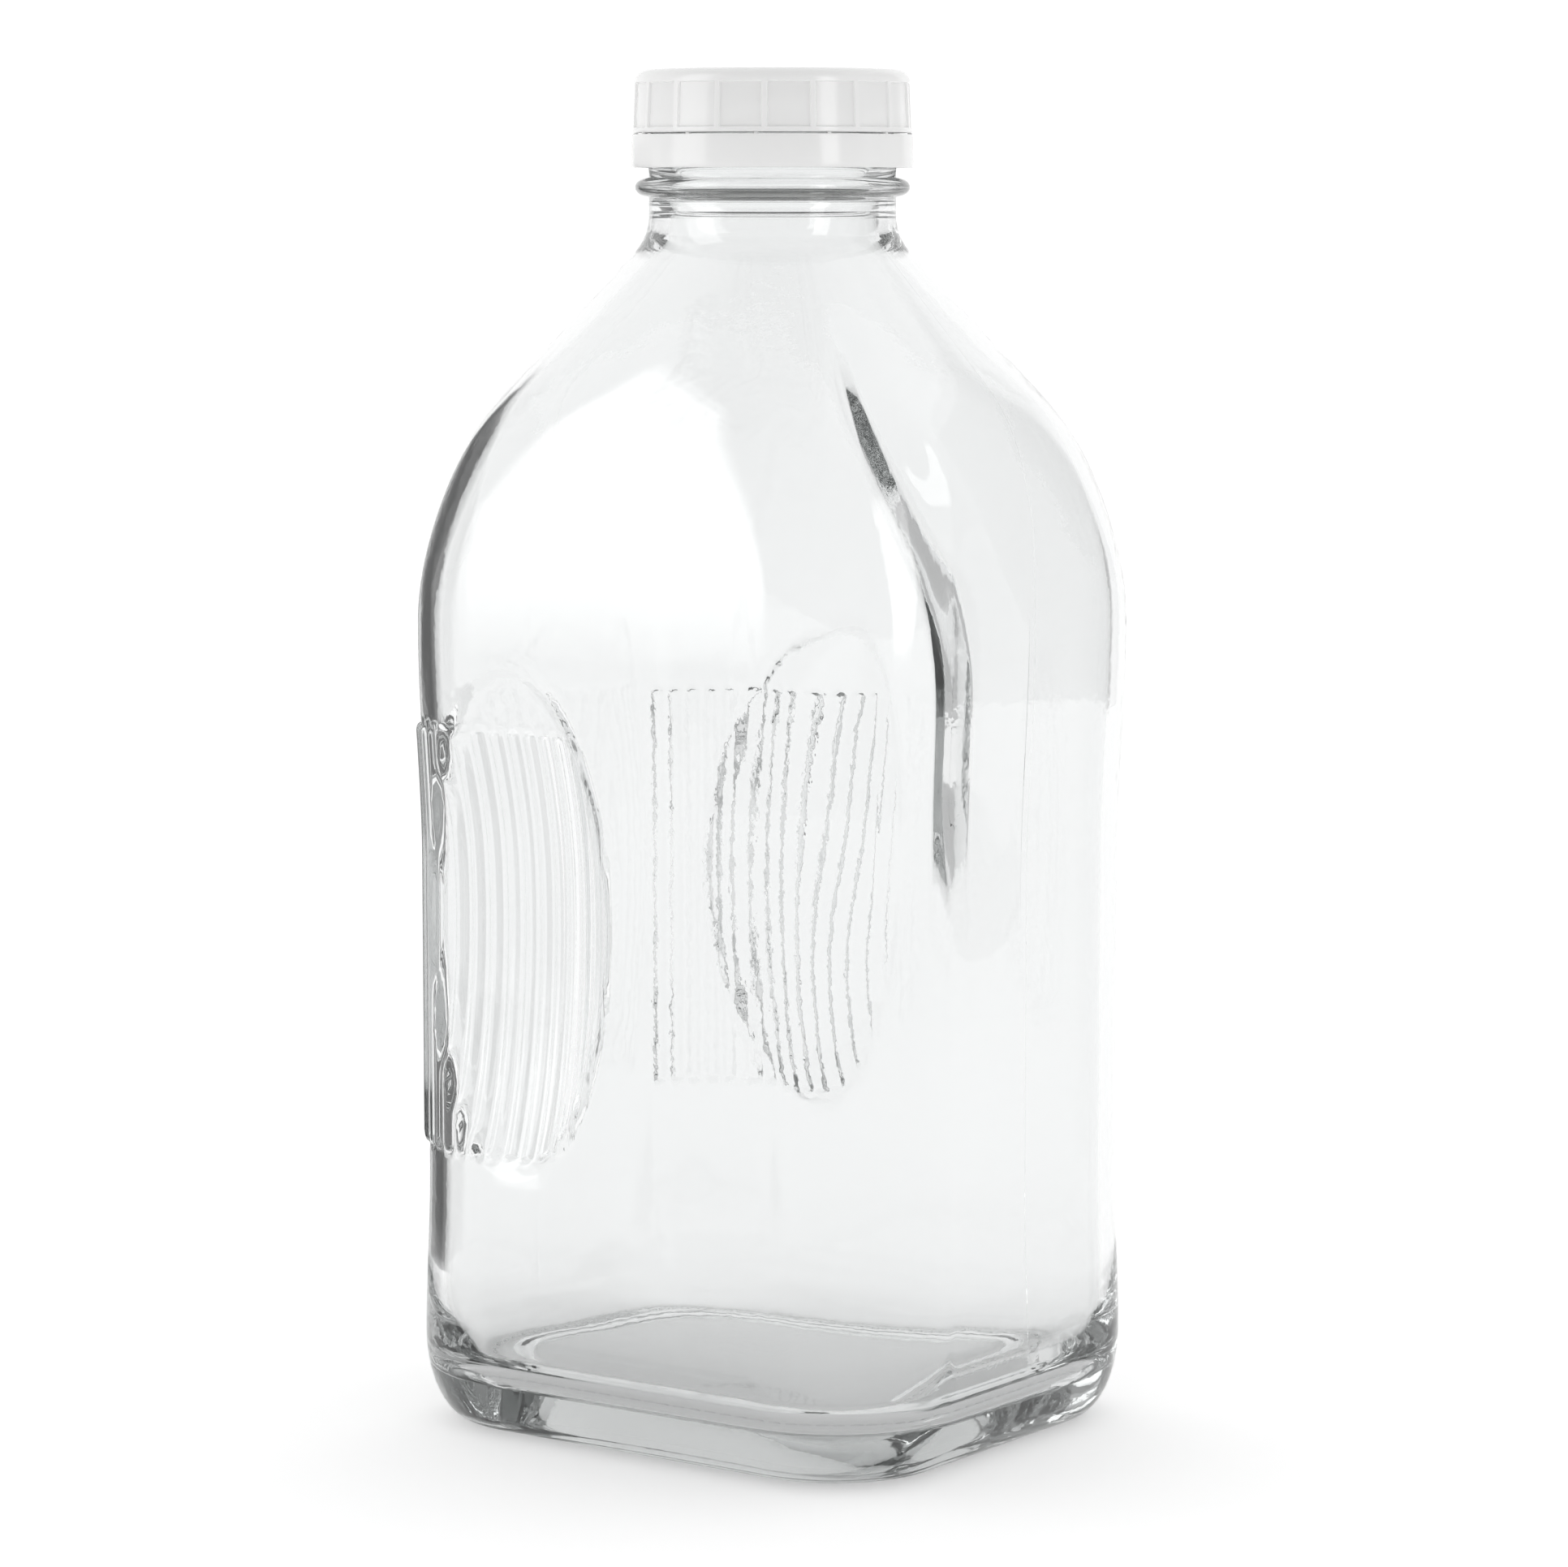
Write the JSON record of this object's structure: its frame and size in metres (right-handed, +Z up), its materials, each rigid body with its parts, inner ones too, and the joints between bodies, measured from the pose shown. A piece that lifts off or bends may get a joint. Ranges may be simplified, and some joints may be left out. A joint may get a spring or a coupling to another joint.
{
  "type": "milk bottle",
  "caption": "Half-gallon clear glass milk bottle with a rounded rectangular body, ribbed side grips, domed shoulder and white ribbed screw cap over a tamper band.",
  "frame": {"origin": "centre of the base, on the surface that the bottle stands on", "axes": "+Z up along the neck, +X across the wide side away from the grips, +Y across the narrow side; the two gripping hollows are on the -Y and +Y faces near the -X corners"},
  "size_m": [0.1182, 0.1032, 0.2562],
  "materials": {
    "clear_glass": "clear container glass, smooth, with faint mould seams and a slight grey cast in the thick heel",
    "cap_plastic": "white moulded polyethylene, soft gloss, slightly translucent",
    "band_plastic": "white moulded polyethylene, soft gloss, the same as the cap",
    "liner_foam": "white foamed polyethylene sealing disc"
  },
  "bodies": {
    "bottle": {"glass_bottle": "clear_glass"},
    "liner": {"cap_liner": "liner_foam"},
    "cap": {"screw_cap": "cap_plastic"},
    "band": {"tamper_band": "band_plastic"}
  },
  "joints": [
    {"name": "cap_lift", "type": "slide", "parent": "bottle", "child": "liner", "axis": [0, 0, 1], "range_m": [0, 0.0241]},
    {"name": "cap_turn", "type": "hinge", "parent": "liner", "child": "cap", "pos_m": [0, 0, 0.25], "axis": [0, 0, 1], "range_deg": [0, 720]},
    {"name": "band_drop", "type": "slide", "parent": "bottle", "child": "band", "axis": [0, 0, -1], "range_m": [0, 0.0014]}
  ],
  "couplings": [
    {"joint": "cap_lift", "follows": "cap_turn", "m_per_rad": 0.0019099}
  ]
}
